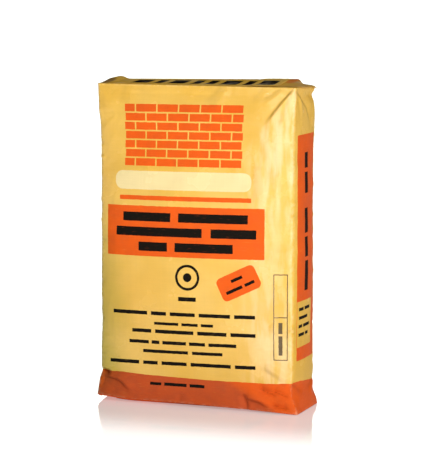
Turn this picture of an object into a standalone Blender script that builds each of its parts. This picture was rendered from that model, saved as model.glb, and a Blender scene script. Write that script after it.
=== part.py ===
"""Filled block-bottom valve sack of cement, standing on its base.

Metres, +Z up. X runs along the sack's width, Y through its depth with the front face towards -Y,
and the origin is on the floor under the middle of the sack.
"""

import math

import bmesh
import bpy

# Lay-flat sizes of the empty sack, which the filled shape follows from
FLAT_WIDTH = 0.50
BLOCK_WIDTH = 0.110
BLOCK_LENGTH = FLAT_WIDTH - BLOCK_WIDTH
HEIGHT = 0.610

# The sheets that are pasted over the folded ends, and the air gap between neighbouring pieces
PATCH_THICKNESS = 0.0006
GAP = 0.0003
LAID_GAP = 0.00045

# Heights that follow from the stack of pieces
SLEEVE_THICKNESS = 0.0008
BODY_FLOOR = PATCH_THICKNESS + GAP
BODY_TOP = HEIGHT - SLEEVE_THICKNESS - LAID_GAP - PATCH_THICKNESS - GAP

# Rims and necks: the folded ends flare out past the necks next to them
WAIST_HALF_WIDTH = BLOCK_LENGTH / 2 - 0.0022
EDGE_HALF_DEPTH = BLOCK_WIDTH / 2
LOWER_NECK = 0.052
UPPER_NECK = 0.032
TOP_TAPER = 0.120
NECK_ROUNDING = 0.08
BASE_FLARE_X = 0.0105
BASE_FLARE_Y = 0.0045
FRONT_CORNER_FLARE = 0.008
TOP_FLARE_X = 0.0065
TOP_FLARE_Y = 0.00175

# How far the fill spreads the sides in depth, more towards the base
SIDE_SPREAD = 0.005
SPREAD_SAG = 0.0055
SPREAD_ABOVE_BASE = 0.045
SPREAD_BELOW_TOP = 0.070

# Upright edges: sharp where the ends are folded, rounder where the cement fills them
RIM_RADIUS = 0.003
BODY_RADIUS = 0.0045
ROUND_ABOVE_BASE = 0.100
ROUND_BELOW_TOP = 0.080

# Crown of the broad faces and of the sides between two heights, which the cement pushes out
CROWN_SPAN_Z = (0.042, BODY_TOP - 0.019)
FACE_CROWN = 0.0172
SIDE_CROWN = 0.003
FACE_CROWN_POWER = 2.2
CROWN_SAG = 0.9
CROWN_FULLNESS = 0.62

# Left corners of the base, which curl off the floor: (side in X, side in Y, lift, reach)
CURLED_CORNERS = (
    (-1, -1, 0.0068, 0.075),
    (-1, 1, 0.004, 0.050),
)
CURL_POWER = 1.6
CURL_HEIGHT = 0.078

# The base's long rims turn up from the floor, which fades out towards the right end
FRONT_LIFT = 0.0062
REAR_LIFT = 0.0045
LIFT_FROM_Y = 0.032
LIFT_FADE_X = (-0.120, 0.200)

# Valve corner at the right rear of the top, where the end droops and sticks out as an ear
FOLD_FROM = (BLOCK_LENGTH / 2 - 0.030, EDGE_HALF_DEPTH)
FOLD_TO = (BLOCK_LENGTH / 2 + 0.004, -EDGE_HALF_DEPTH)
FOLD_SLOPE = 0.14
FOLD_SPREAD = 0.06
FOLD_ROUNDING = 0.006
EAR_REACH = 0.022
DROOP_REACH = 0.050
EAR_DENT = 0.005
DENT_BELOW_TOP = 0.022
DENT_SPREAD = 0.014
DENT_EASE = 0.020

# Patches and valve sleeve, in plan
TOP_PATCH_X = (-0.178, 0.150)
TOP_PATCH_DEPTH = 0.096
BOTTOM_PATCH_LENGTH = 0.340
BOTTOM_PATCH_DEPTH = 0.096
SLEEVE_X = (0.108, 0.2005)
SLEEVE_Y = (-0.032, 0.054)
LAP_LENGTH = 0.014
LAP_END_X = SLEEVE_X[0] - 0.005
TOP_PATCH_CELL = (0.006, 0.012)
BOTTOM_PATCH_CELL = (0.014, 0.004)
SLEEVE_CELL = (0.006, 0.006)

# Loop cuts of the body, as shares of the half width, of the half depth and as heights
CUTS_X = (0.22, 0.44, 0.64, 0.79, 0.88, 0.925, 0.955, 0.978, 0.992)
CUTS_Y = (0.0, 0.30, 0.55, 0.72, 0.84, 0.93, 0.975)
CUTS_Z = (0.004, 0.016, 0.030, 0.042, 0.052, 0.066, 0.086, 0.115, 0.155, 0.205, 0.255, 0.305,
          0.355, 0.405, 0.450, 0.490, 0.522, 0.546, 0.562, 0.574, 0.584, 0.594, 0.602)

SMOOTH_ANGLE = math.radians(50)

SACK_YELLOW = (0.87, 0.55, 0.10)
SACK_ORANGE = (0.80, 0.16, 0.03)
SLEEVE_TAN = (0.72, 0.50, 0.14)
SACK_ROUGHNESS = 0.42
SLEEVE_ROUGHNESS = 0.55


def clamp(value, low=0.0, high=1.0):
    return max(low, min(high, value))


def smooth(value):
    """Eases 0 to 1 with no kink at either end."""
    value = clamp(value)
    return value * value * (3 - 2 * value)


def ramp(height, reach):
    """1 at a rim, falling in a straight line to 0 at this reach from it, rounded at the neck."""
    rest = clamp(1 - height / reach)
    return rest * rest / (rest + NECK_ROUNDING) * (1 + NECK_ROUNDING)


def make_material(name, colour, roughness):
    material = bpy.data.materials.new(name)
    material.use_nodes = True
    shader = material.node_tree.nodes["Principled BSDF"]
    shader.inputs["Base Color"].default_value = (*colour, 1.0)
    shader.inputs["Roughness"].default_value = roughness
    shader.inputs["Metallic"].default_value = 0.0
    material.diffuse_color = (*colour, 1.0)
    return material


def past_fold(x, y):
    """How far a point of the top lies beyond the valve corner's fold line, in metres."""
    run_x, run_y = FOLD_TO[0] - FOLD_FROM[0], FOLD_TO[1] - FOLD_FROM[1]
    length = math.hypot(run_x, run_y)
    distance = (-run_y * (x - FOLD_FROM[0]) + run_x * (y - FOLD_FROM[1])) / length
    if distance <= -FOLD_ROUNDING:
        return 0.0
    if distance >= FOLD_ROUNDING:
        return distance
    return (distance + FOLD_ROUNDING) ** 2 / (4 * FOLD_ROUNDING)


def top_height(x, y):
    """Height of the folded top: level, and drooping past the valve corner's fold."""
    return BODY_TOP - FOLD_SLOPE * past_fold(x, y)


def base_lift(x, y):
    """How far the base is off the floor: turned up at its long rims and curled at its left corners."""
    rim = EDGE_HALF_DEPTH + BASE_FLARE_Y - LIFT_FROM_Y
    front = FRONT_LIFT * clamp((-y - LIFT_FROM_Y) / rim) ** 2
    rear = REAR_LIFT * clamp((y - LIFT_FROM_Y) / rim) ** 2
    fade = 1 - clamp((x - LIFT_FADE_X[0]) / (LIFT_FADE_X[1] - LIFT_FADE_X[0])) ** 2
    lift = fade * (front + rear)
    for side_x, side_y, rise, reach in CURLED_CORNERS:
        corner_x = side_x * (WAIST_HALF_WIDTH + BASE_FLARE_X)
        corner_y = side_y * (EDGE_HALF_DEPTH + BASE_FLARE_Y)
        lift += rise * clamp(1 - math.hypot(x - corner_x, y - corner_y) / reach) ** CURL_POWER
    return lift


def crown_share(height):
    """The filled body's bulge: none at the necks, fullest a little below the middle."""
    share = clamp((height - CROWN_SPAN_Z[0]) / (CROWN_SPAN_Z[1] - CROWN_SPAN_Z[0]))
    return math.sin(math.pi * share ** CROWN_SAG) ** CROWN_FULLNESS


def sack_point(across, through, height):
    """Where a point of the unit box, with across and through from -1 to 1, lies on the filled sack."""
    base = ramp(height, LOWER_NECK)
    top = ramp(BODY_TOP - height, UPPER_NECK)
    taper = smooth(1 - (BODY_TOP - height) / TOP_TAPER)
    half_width = WAIST_HALF_WIDTH + BASE_FLARE_X * base + TOP_FLARE_X * taper
    half_depth = EDGE_HALF_DEPTH + BASE_FLARE_Y * base + TOP_FLARE_Y * top
    spread = smooth(min(height / SPREAD_ABOVE_BASE, (BODY_TOP - height) / SPREAD_BELOW_TOP))
    half_depth += (SIDE_SPREAD + SPREAD_SAG * (1 - height / BODY_TOP)) * spread
    firmness = smooth(min(height / ROUND_ABOVE_BASE, (BODY_TOP - height) / ROUND_BELOW_TOP))
    radius = RIM_RADIUS + (BODY_RADIUS - RIM_RADIUS) * firmness

    # Rounded rectangle of this height
    x, y = across * half_width, through * half_depth
    core_x = clamp(x, radius - half_width, half_width - radius)
    core_y = clamp(y, radius - half_depth, half_depth - radius)
    out_x, out_y = x - core_x, y - core_y
    length = math.hypot(out_x, out_y)
    if length > 0:
        reach = max(abs(out_x), abs(out_y)) / length
        x, y = core_x + out_x * reach, core_y + out_y * reach

    # Crown of the broad faces and of the sides
    bulge = crown_share(height)
    y += through * FACE_CROWN * bulge * (1 - abs(across) ** FACE_CROWN_POWER)
    x += across * SIDE_CROWN * bulge * (1 - through ** 2)
    if through < 0:
        y += through * FRONT_CORNER_FLARE * base * smooth(0.5 + across / 2)

    # Curled base corners, and the drooping valve corner with the dent under it
    z = BODY_FLOOR + height * (BODY_TOP - BODY_FLOOR) / BODY_TOP
    z += base_lift(x, y) * smooth(1 - height / CURL_HEIGHT)
    below_top = BODY_TOP - height
    x += FOLD_SPREAD * past_fold(x, y) * smooth(1 - below_top / EAR_REACH)
    beyond = past_fold(x, y)
    z += (top_height(x, y) - BODY_TOP) * smooth(1 - below_top / DROOP_REACH)
    dent = math.exp(-((below_top - DENT_BELOW_TOP) / DENT_SPREAD) ** 2)
    x -= EAR_DENT * dent * smooth(beyond / DENT_EASE) * clamp(across)
    return x, y, z


def cut_loops(mesh, axis, positions):
    """Cuts the whole mesh with planes across one axis, as loop cuts do."""
    normal = [0.0, 0.0, 0.0]
    normal[axis] = 1.0
    for position in positions:
        point = [0.0, 0.0, 0.0]
        point[axis] = position
        geometry = mesh.verts[:] + mesh.edges[:] + mesh.faces[:]
        bmesh.ops.bisect_plane(mesh, geom=geometry, plane_co=point, plane_no=normal)


def link(name, mesh_data, material, collection):
    item = bpy.data.objects.new(name, mesh_data)
    mesh_data.materials.append(material)
    collection.objects.link(item)
    return item


def make_sack_body(material, collection):
    """The filled sack: a box with loop cuts, each point moved to where the fill pushes it."""
    shape = bmesh.new()
    bmesh.ops.create_cube(shape, size=2.0)
    for vertex in shape.verts:
        vertex.co.z = 0.0 if vertex.co.z < 0 else BODY_TOP
    cut_loops(shape, 0, [-cut for cut in CUTS_X] + [0.0] + list(CUTS_X))
    cut_loops(shape, 1, sorted({side * cut for cut in CUTS_Y for side in (-1, 1)}))
    cut_loops(shape, 2, CUTS_Z)
    for vertex in shape.verts:
        vertex.co = sack_point(*vertex.co)
    bmesh.ops.recalc_face_normals(shape, faces=shape.faces)
    mesh_data = bpy.data.meshes.new("sack_body")
    shape.to_mesh(mesh_data)
    shape.free()
    mesh_data.shade_smooth()
    mesh_data.set_sharp_from_angle(angle=SMOOTH_ANGLE)
    return link("sack_body", mesh_data, material, collection)


def make_sheet(name, span_x, span_y, cell, lie, thickness, material, collection):
    """A thin sheet over a plan rectangle, each point at the height that lie(x, y) gives."""
    cells_x = round((span_x[1] - span_x[0]) / cell[0])
    cells_y = round((span_y[1] - span_y[0]) / cell[1])
    shape = bmesh.new()
    bmesh.ops.create_grid(shape, x_segments=cells_x, y_segments=cells_y, size=1.0)
    for vertex in shape.verts:
        x = span_x[0] + (vertex.co.x + 1) / 2 * (span_x[1] - span_x[0])
        y = span_y[0] + (vertex.co.y + 1) / 2 * (span_y[1] - span_y[0])
        vertex.co = (x, y, lie(x, y))
    mesh_data = bpy.data.meshes.new(name)
    shape.to_mesh(mesh_data)
    shape.free()
    sheet = link(name, mesh_data, material, collection)
    solid = sheet.modifiers.new("thickness", "SOLIDIFY")
    solid.thickness = thickness
    solid.offset = 1.0
    return sheet


def over_sleeve(x, y):
    """Underside of the top patch, which steps up where it laps over the valve sleeve."""
    step = SLEEVE_THICKNESS + LAID_GAP
    lapped = smooth(1 + (x - LAP_END_X) / LAP_LENGTH)
    return top_height(x, y) + GAP + step * lapped


def on_top(x, y):
    """Underside of the valve sleeve, just clear of the folded top."""
    return top_height(x, y) + LAID_GAP


def main():
    for item in list(bpy.data.objects):
        bpy.data.objects.remove(item, do_unlink=True)
    parts = bpy.data.collections.new("cement_sack")
    bpy.context.scene.collection.children.link(parts)

    yellow = make_material("sack_yellow", SACK_YELLOW, SACK_ROUGHNESS)
    orange = make_material("sack_orange", SACK_ORANGE, SACK_ROUGHNESS)
    tan = make_material("sleeve_tan", SLEEVE_TAN, SLEEVE_ROUGHNESS)

    make_sack_body(yellow, parts)
    half = TOP_PATCH_DEPTH / 2
    make_sheet("top_patch", TOP_PATCH_X, (-half, half), TOP_PATCH_CELL, over_sleeve,
               PATCH_THICKNESS, yellow, parts)
    half_x, half_y = BOTTOM_PATCH_LENGTH / 2, BOTTOM_PATCH_DEPTH / 2
    make_sheet("bottom_patch", (-half_x, half_x), (-half_y, half_y), BOTTOM_PATCH_CELL, base_lift,
               PATCH_THICKNESS, orange, parts)
    make_sheet("valve_sleeve", SLEEVE_X, SLEEVE_Y, SLEEVE_CELL, on_top,
               SLEEVE_THICKNESS, tan, parts)


main()
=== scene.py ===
"""Looks of the filled cement sack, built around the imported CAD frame.

Metres, +Z up, printed front towards -Y, valve corner at +X +Y, as in the frame.
"""

import functools
import math
import random

import bmesh
import bpy
import numpy as np
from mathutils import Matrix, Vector, noise
from types import SimpleNamespace

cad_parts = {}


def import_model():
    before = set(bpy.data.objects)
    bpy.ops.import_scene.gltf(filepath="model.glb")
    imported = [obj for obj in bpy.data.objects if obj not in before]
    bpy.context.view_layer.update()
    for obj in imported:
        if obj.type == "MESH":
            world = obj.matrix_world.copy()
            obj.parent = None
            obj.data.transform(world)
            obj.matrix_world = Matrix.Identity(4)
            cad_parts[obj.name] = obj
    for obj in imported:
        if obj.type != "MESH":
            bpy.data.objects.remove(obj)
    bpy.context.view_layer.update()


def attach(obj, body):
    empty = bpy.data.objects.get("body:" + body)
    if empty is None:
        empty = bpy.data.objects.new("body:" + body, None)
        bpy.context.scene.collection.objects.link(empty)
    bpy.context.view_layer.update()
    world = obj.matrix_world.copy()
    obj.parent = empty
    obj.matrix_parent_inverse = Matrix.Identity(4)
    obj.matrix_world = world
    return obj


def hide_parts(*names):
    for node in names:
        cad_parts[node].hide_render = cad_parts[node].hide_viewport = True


# The photograph's frame and the camera that its edges give
PHOTO_LONG_SIDE = 460
FOCAL_PIXELS = 2380.0
SENSOR = 36.0
CAMERA_AZIMUTH = 20.1
CAMERA_ELEVATION = 7.2
CAMERA_DISTANCE = 4.5
CAMERA_AIM = (0.0222, 0.0, 0.3315)

# Sheets and gaps between the pieces
PATCH_THICKNESS = 0.0006
SLEEVE_THICKNESS = 0.0008
GAP = 0.0003
LAID_GAP = 0.00045

# Pasted strips: span in X, span in Y, cell, thickness, corner radius, unevenness of the edges
TOP_PATCH = ((-0.178, 0.15), (-0.048, 0.048), 0.003, PATCH_THICKNESS, 0.006, 0.0016)
BOTTOM_PATCH = ((-0.17, 0.17), (-0.048, 0.048), 0.004, PATCH_THICKNESS, 0.006, 0.0)
SLEEVE = ((0.108, 0.2005), (-0.032, 0.054), 0.003, SLEEVE_THICKNESS, 0.004, 0.0012)
LAP_LENGTH = 0.014
LAP_END_X = SLEEVE[0][0] - 0.005
EDGE_WAVES = 40

# Lay-flat sheet of the sack: front and back are BLOCK_LENGTH wide, the sides BLOCK_WIDTH
BLOCK_LENGTH = 0.39
BLOCK_WIDTH = 0.11
HEIGHT = 0.61
BODY_FLOOR = PATCH_THICKNESS + GAP
BODY_TOP = HEIGHT - SLEEVE_THICKNESS - LAID_GAP - PATCH_THICKNESS - GAP

# Shape of the filled sack
WAIST_HALF_WIDTH = BLOCK_LENGTH / 2 - 0.0022
EDGE_HALF_DEPTH = BLOCK_WIDTH / 2
LOWER_NECK = 0.052
UPPER_NECK = 0.032
TOP_TAPER = 0.12
NECK_ROUNDING = 0.08
BASE_FLARE_X = 0.0105
BASE_FLARE_Y = 0.0045
FRONT_CORNER_FLARE = 0.008
TOP_FLARE_X = 0.0065
TOP_FLARE_Y = 0.00175
SIDE_SPREAD = 0.005
SPREAD_SAG = 0.0055
SPREAD_ABOVE_BASE = 0.045
SPREAD_BELOW_TOP = 0.07
RIM_RADIUS = 0.003
BODY_RADIUS = 0.0045
ROUND_ABOVE_BASE = 0.1
ROUND_BELOW_TOP = 0.08
CROWN_SPAN_Z = (0.042, BODY_TOP - 0.019)
FACE_CROWN = 0.0172
SIDE_CROWN = 0.003
FACE_CROWN_POWER = 2.2
CROWN_SAG = 0.9
CROWN_FULLNESS = 0.62

# Corners of the base that curl off the floor: (side in X, side in Y, lift, reach)
CURLED_CORNERS = (
    (-1, -1, 0.0068, 0.075),
    (-1, 1, 0.004, 0.05),
)
CURL_POWER = 1.6
CURL_HEIGHT = 0.078

# The base's long rims turn up from the floor, which fades out towards the right end
FRONT_LIFT = 0.0062
REAR_LIFT = 0.0045
LIFT_FROM_Y = 0.032
LIFT_FADE_X = (-0.12, 0.2)

# Valve corner at the right rear of the top, where the end droops and sticks out as an ear
FOLD_FROM = (BLOCK_LENGTH / 2 - 0.03, EDGE_HALF_DEPTH)
FOLD_TO = (BLOCK_LENGTH / 2 + 0.004, -EDGE_HALF_DEPTH)
FOLD_SLOPE = 0.14
FOLD_SPREAD = 0.06
FOLD_ROUNDING = 0.006
EAR_REACH = 0.012
DROOP_REACH = 0.05
EAR_TIP_DROP = 0.007
EAR_TIP_FROM = 0.026
EAR_TIP_SPAN = 0.012
EAR_DENT = 0.0052
DENT_BELOW_TOP = 0.0165
DENT_SPREAD = 0.0095
DENT_EASE = 0.02

# The folded layers of the top stand up towards the rear, the most beside the valve corner
REAR_RISE_LEFT = 0.0018
REAR_RISE_RIGHT = 0.0085
RISE_DEPTH = 0.02
LEFT_RISE = 0.0055
LEFT_RISE_X = (-0.179, -0.196)
LEFT_RISE_Y = (-0.045, 0.012)

# Right end of the top leans in a little from the flare that the left end has
TOP_LEAN = 0.0045

# Grid of the sheet, before one subdivision halves its cells, which are smaller near its edges
CELL = 0.0055
CELL_EASE = 0.35
RIM_CREASE = 0.75

# The sheet that is filled, and how much of its settling in X, Y and Z is kept
SHEET_HEIGHT = 0.6125
SHEET_STRETCH = 1.014
SETTLING_FRAMES = 20
MOVE_LIMIT = 0.006
SETTLED_SHARE = (0.25, 0.4, 1.0)
CLOTH = {
    "quality": 8,
    "mass": 0.2,
    "air_damping": 3.0,
    "tension_stiffness": 80,
    "compression_stiffness": 80,
    "shear_stiffness": 40,
    "bending_stiffness": 0.2,
    "tension_damping": 10,
    "compression_damping": 10,
    "shear_damping": 10,
    "bending_damping": 1,
    "use_pressure": True,
    "use_pressure_volume": True,
    "target_volume": 0.0331,
    "uniform_pressure_force": 10.0,
    "vertex_group_mass": "held",
    "pin_stiffness": 1.0,
}

# Places on the sheet: u runs round the tube from the middle of the front, v up from the base
FRONT_EDGE = BLOCK_LENGTH / 2
REAR_EDGE = FRONT_EDGE + BLOCK_WIDTH
UPRIGHT_EDGES = (-FRONT_EDGE, FRONT_EDGE, REAR_EDGE, -REAR_EDGE)
GIRTH = 2 * (BLOCK_LENGTH + BLOCK_WIDTH)
BACK_MIDDLE = GIRTH / 2

# Folds of the sheet: points (u, v) along the crest, its height, which is below 0 for a valley,
# and how far the sheet slopes away to the left and to the right of the run
FOLDS = (
    (((0.1945, 0.6055), (0.172, 0.579), (0.1395, 0.535)), 0.005, 0.025, 0.0042),
    (((0.192, 0.592), (0.182, 0.565), (0.17, 0.53)), 0.0017, 0.015, 0.0075),
    (((0.172, 0.603), (0.152, 0.5865), (0.13, 0.572)), 0.0018, 0.022, 0.008),
    (((0.142, 0.603), (0.13, 0.587), (0.118, 0.569)), 0.0012, 0.022, 0.011),
    (((0.064, 0.604), (0.048, 0.583), (0.03, 0.56)), 0.0014, 0.024, 0.016),
    (((-0.192, 0.605), (-0.178, 0.583), (-0.162, 0.555)), 0.001, 0.016, 0.013),
    (((-0.125, 0.606), (-0.133, 0.565)), 0.0014, 0.022, 0.016),
    (((0.155, 0.548), (0.15, 0.505), (0.153, 0.45)), 0.0009, 0.023, 0.015),
    (((0.176, 0.54), (0.172, 0.49), (0.177, 0.43)), 0.0009, 0.018, 0.012),
    (((0.133, 0.47), (0.139, 0.425), (0.135, 0.375)), 0.0013, 0.02, 0.016),
    (((0.199, 0.601), (0.23, 0.59), (0.26, 0.568), (0.274, 0.535)), -0.0042, 0.015, 0.009),
    (((0.205, 0.596), (0.218, 0.575), (0.23, 0.548)), 0.0026, 0.013, 0.011),
    (((-0.1975, 0.06), (-0.185, 0.056), (-0.17, 0.052)), -0.0072, 0.0075, 0.0075),
    (((-0.185, 0.05), (-0.157, 0.0455), (-0.146, 0.04), (-0.134, 0.028), (-0.1225, 0.015)),
     0.0056, 0.02, 0.0065),
    (((-0.188, 0.05), (-0.187, 0.038), (-0.189, 0.02)), 0.0022, 0.005, 0.007),
    (((0.097, 0.031), (0.099, 0.013), (0.1, -0.008)), -0.0062, 0.0045, 0.012),
    (((0.128, 0.0445), (0.145, 0.0365), (0.1635, 0.0325)), -0.0052, 0.01, 0.006),
    (((0.153, 0.0415), (0.174, 0.0345), (0.188, 0.0305)), -0.0046, 0.009, 0.006),
    (((0.1, 0.0275), (0.1285, 0.0215), (0.151, 0.0095)), 0.005, 0.016, 0.007),
    (((0.147, 0.0125), (0.165, 0.0095), (0.183, 0.0105)), -0.0048, 0.007, 0.0055),
    (((0.195, 0.058), (0.22, 0.045), (0.235, 0.032)), -0.0022, 0.011, 0.01),
    (((0.295, 0.048), (0.28, 0.038), (0.26, 0.026)), 0.0024, 0.013, 0.01),
    (((-0.03, 0.001), (-0.027, 0.023)), -0.0016, 0.009, 0.01),
    (((0.14, 0.09), (0.16, 0.079), (0.188, 0.062)), 0.0026, 0.012, 0.008),
    (((0.15, 0.165), (0.168, 0.156), (0.188, 0.152)), 0.0014, 0.011, 0.008),
    (((-0.248, 0.606), (-0.24, 0.585), (-0.229, 0.56)), -0.0026, 0.013, 0.012),
    (((-0.207, 0.599), (-0.23, 0.58), (-0.26, 0.565)), 0.003, 0.013, 0.01),
    (((-0.206, 0.054), (-0.235, 0.043), (-0.27, 0.024)), -0.0034, 0.012, 0.01),
    (((0.308, 0.602), (0.34, 0.585), (0.37, 0.553)), 0.0034, 0.018, 0.009),
    (((0.32, 0.599), (0.335, 0.565), (0.342, 0.53)), -0.0028, 0.015, 0.013),
    (((0.69, 0.605), (0.66, 0.58), (0.645, 0.552)), 0.003, 0.017, 0.01),
    (((0.46, 0.605), (0.472, 0.568)), 0.0015, 0.018, 0.015),
    (((0.55, 0.605), (0.538, 0.56)), 0.0013, 0.016, 0.018),
    (((0.308, 0.06), (0.335, 0.045), (0.36, 0.02)), -0.0036, 0.01, 0.014),
    (((0.69, 0.06), (0.66, 0.05), (0.638, 0.026)), -0.0036, 0.014, 0.01),
    (((0.56, 0.001), (0.556, 0.025)), -0.0022, 0.008, 0.01),
    (((0.44, 0.05), (0.465, 0.042), (0.49, 0.042)), 0.0022, 0.012, 0.009),
)
FLANK_CURVE = 1.5
# Painted shade in the creases: its place from a fold's foot, its spread, and the fold height that makes
# it full
CREASE_SHADE_AT = 0.75
CREASE_SHADE_SPREAD = 0.3
CREASE_SHADE_DEPTH = 0.0045
FOLD_START = 0.15
FOLD_LEAD = 0.18
FOLD_TAIL = 0.35
FOLD_WIDENING = 0.4
EVEN_FLANKS = 1.05
CREST_ROUNDING = 0.0006

# Dents with no crest: (u, v), reach in u and in v, depth
DENTS = (
    ((0.196, 0.034), (0.015, 0.018), 0.005),
    ((-0.196, 0.056), (0.012, 0.006), 0.0016),
    ((0.305, 0.044), (0.015, 0.012), 0.0035),
    ((0.305, 0.028), (0.017, 0.011), 0.0048),
    ((-0.305, 0.045), (0.015, 0.016), 0.0035),
    ((0.153, 0.026), (0.026, 0.012), 0.002),
    ((0.11, 0.012), (0.012, 0.009), 0.0018),
    ((0.308, 0.54), (0.02, 0.03), -0.0018),
)

# Lap of the tube down the back, and the tucked pockets under the plies of the folded ends
SEAM_U = 0.412
SEAM_WIDTH = 0.036
SEAM_STEP = 0.0007
SEAM_EASE = 4
PLY = 0.0006
PLY_EASE = 0.003

# Short pinches across the upright edges, where the crown leaves spare length
PINCH_SEED = 11
PINCHES_PER_EDGE = 9
PINCH_FROM_V = 0.07
PINCH_RUN_V = 0.47
PINCH_PLACE = (0.1, 0.9)
PINCH_TILT = 0.45
PINCH_PAST_EDGE = 0.4
PINCH_DEPTH = (0.0005, 0.0016)
PINCH_WIDTH = (0.0035, 0.0065)
PINCH_LENGTH = (0.016, 0.042)

# Waves and crumples of the sheet: waves to a metre and height of each
UNDULATIONS = ((9.0, 0.0012), (24.0, 0.0007))
CRUMPLES = ((30.0, 0.0013), (75.0, 0.0006))
CRUMPLE_SHIFT = Vector((7.3, 1.9, 4.1))
CRUMPLE_LEVEL = 0.4
BENT_WAVES = 20.0
BENT_REACH = 0.012
CRUMPLE_SEED = 5
CRUMPLE_PATCHES = 8.0
PATCH_SHIFT = Vector((3.7, 9.2, 5.5))
PATCH_SHARE = 0.9
CRUMPLE_LEAST = 0.25
BUSY_EDGE = 0.075
BUSY_SHARE = 0.55
SPOT_SHARE = 0.8
BUSY_SPOTS = (
    ((0.15, 0.1), (0.045, 0.06)),
    ((0.155, 0.44), (0.035, 0.11)),
    ((0.155, 0.24), (0.04, 0.08)),
)

# Near the rims the sheet is held by the folded ends: how far that reaches, and what still shows
RIM_FADE = 0.012
FOLDS_AT_RIM = 0.45
CRUMPLES_AT_RIM = 0.15

# Wear of the film along the upright edges and the rims: its width and its share
WORN_EDGES = (0.0045, 0.6)
WORN_RIMS = (0.003, 0.35)

# Print on the sheet, in metres of u and v
BAND_TOP = 0.0563
BAND_FALL = 0.01
BAND_RIPPLE = 0.0035
BAND_RIPPLE_WAVES = 16.0
BAND_DIP_U = 0.04
BAND_DIP_HALF = 0.17
BAND_DIP = 0.004
BAND_DIP_LOWEST = -0.0023
BAND_DIP_MOST = 1.2
PANEL = ((-0.021, 0.516), (0.237, 0.118))
BRICK_LENGTH = 0.043
BRICK_COURSE = 0.01686
BRICK_JOINT = 0.0028
NAME_STRIP = ((-0.0215, 0.43), (0.275, 0.035), 0.015)
THIN_BAR = ((-0.017, 0.397), (0.266, 0.0085))
FRONT_BOX = ((-0.018, 0.3345), (0.32, 0.095))
RING = ((-0.009, 0.2497), 0.0245, 0.0195)
RING_CORE = 0.0085
RING_LABEL = ((-0.01, 0.2085), (0.036, 0.008))
BADGE_TURN = math.radians(25)
BADGE = ((0.0924, 0.2424), (0.081, 0.046), 0.01, BADGE_TURN)
FORM_BOX = ((0.1725, 0.1795), (0.027, 0.162))
FORM_LINE = 0.0018
FORM_ROW = (0.108, 0.17, 0.1725, 0.0075, (7, 4))
SIDE_STRIP = ((0.2515, 0.308), (0.0845, 0.422))
SIDE_LABEL = ((0.2426, 0.165), (0.064, 0.086))
INK_WANDER = 0.0012
INK_WAVES = 130.0
LETTER_GAP = 0.8
PRINT_SKEW = 0.0115

# Rows of plain bars where the sack has words: left, right, middle height, bar height, word lengths
HEADLINE_ROWS = (
    (-0.1425, 0.11, 0.3613, 0.017, (5, 7)),
    (-0.1575, 0.1265, 0.3335, 0.017, (8, 4)),
    (-0.1095, 0.0815, 0.3055, 0.017, (3, 6)),
)
TEXT_ROWS = (
    (-0.1655, 0.1245, 0.1787, 0.007, (7, 3, 5, 6, 4)),
    (-0.0785, 0.042, 0.1596, 0.0055, (6, 4, 3)),
    (-0.125, 0.125, 0.1442, 0.007, (4, 8, 6, 5)),
    (-0.1315, 0.0875, 0.123, 0.0065, (5, 2, 6, 4, 7)),
    (-0.1025, 0.0595, 0.1055, 0.0062, (9, 6)),
    (-0.173, 0.124, 0.083, 0.007, (6, 3, 5, 8, 4)),
)
WEIGHT_ROW = (-0.0905, 0.02, 0.0388, 0.0068, (3, 6, 4))
BADGE_ROWS = ((-0.012, 0.012, 0.0085, 0.0058, (2,)), (-0.03, 0.03, -0.0085, 0.0058, (5, 3)))
SIDE_RUNS = ((0.409, 0.485, 0.2475, 0.015, (4, 3)), (0.226, 0.381, 0.2475, 0.015, (6, 4, 5)))
SIDE_LABEL_ROWS = (
    (0.217, 0.266, 0.193, 0.006, (4, 5)),
    (0.217, 0.255, 0.177, 0.006, (6,)),
    (0.217, 0.266, 0.161, 0.006, (3, 6)),
    (0.217, 0.26, 0.145, 0.006, (5, 3)),
)
TOP_ROW = (-0.146, 0.138, 0.0, 0.05, (2, 1, 2, 1, 1, 2, 1, 2))

# Linear colours of the inks and the film, and of the painted shade, shadow and highlight
YELLOW = (0.78, 0.45, 0.06)
PALE_YELLOW = (0.82, 0.51, 0.105)
ORANGE = (0.8, 0.112, 0.012)
# Deeper orange: random patches of the ink, and the painted shade low on the left of the band
DEEP_ORANGE_AND_SHADE = (0.47, 0.08, 0.026)
CREAM = (0.86, 0.71, 0.36)
INK = (0.009, 0.007, 0.005)
OLIVE = (0.11, 0.065, 0.015)
WHITENED = (0.95, 0.8, 0.55)
# Darkening of the painted shade in the creases beside the folds
CREASE_SHADE_TINT = (0.42, 0.36, 0.28)
# Olive darkening of the painted shade up the left edge
LEFT_SHADE_TINT = (0.58, 0.76, 0.55)
# Pale cream of the painted highlight on the front
PAINTED_HIGHLIGHT = (0.93, 0.63, 0.27)
# Dark brown of the painted shadow on the top's left end
SHADOW_BROWN = (0.22, 0.13, 0.06)
TAN = (0.62, 0.36, 0.1)
DUST = (0.6, 0.55, 0.46)

# Painted highlight, pale cream put into the film's colour at the right of the front, below the valve
# corner's long fold:
# where it begins and is full in u, its shares low down and high up, and the fold's slope and its place
PAINTED_HIGHLIGHT_U = (0.08, 0.155)
PAINTED_HIGHLIGHT_LOW = (0.1, 0.26, 0.8, 0.45)
PAINTED_HIGHLIGHT_HIGH = (0.34, 0.44, 0.45, 0.95)
LONG_FOLD_SLOPE = 1.28
LONG_FOLD_PLACE = (0.37, 0.345)

# Painted shade low on the left of the band, darkening the orange: its slope, its spread, and the lit
# ridge at the corner that it leaves out
BAND_SHADE_SLOPE = (0.53, 0.85)
BAND_SHADE_SPREAD = (0.078, 0.1, 0.76, 0.08)
LIT_RIDGE_U = (-0.182, -0.191)
LIT_RIDGE_V = (0.012, 0.028)

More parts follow.
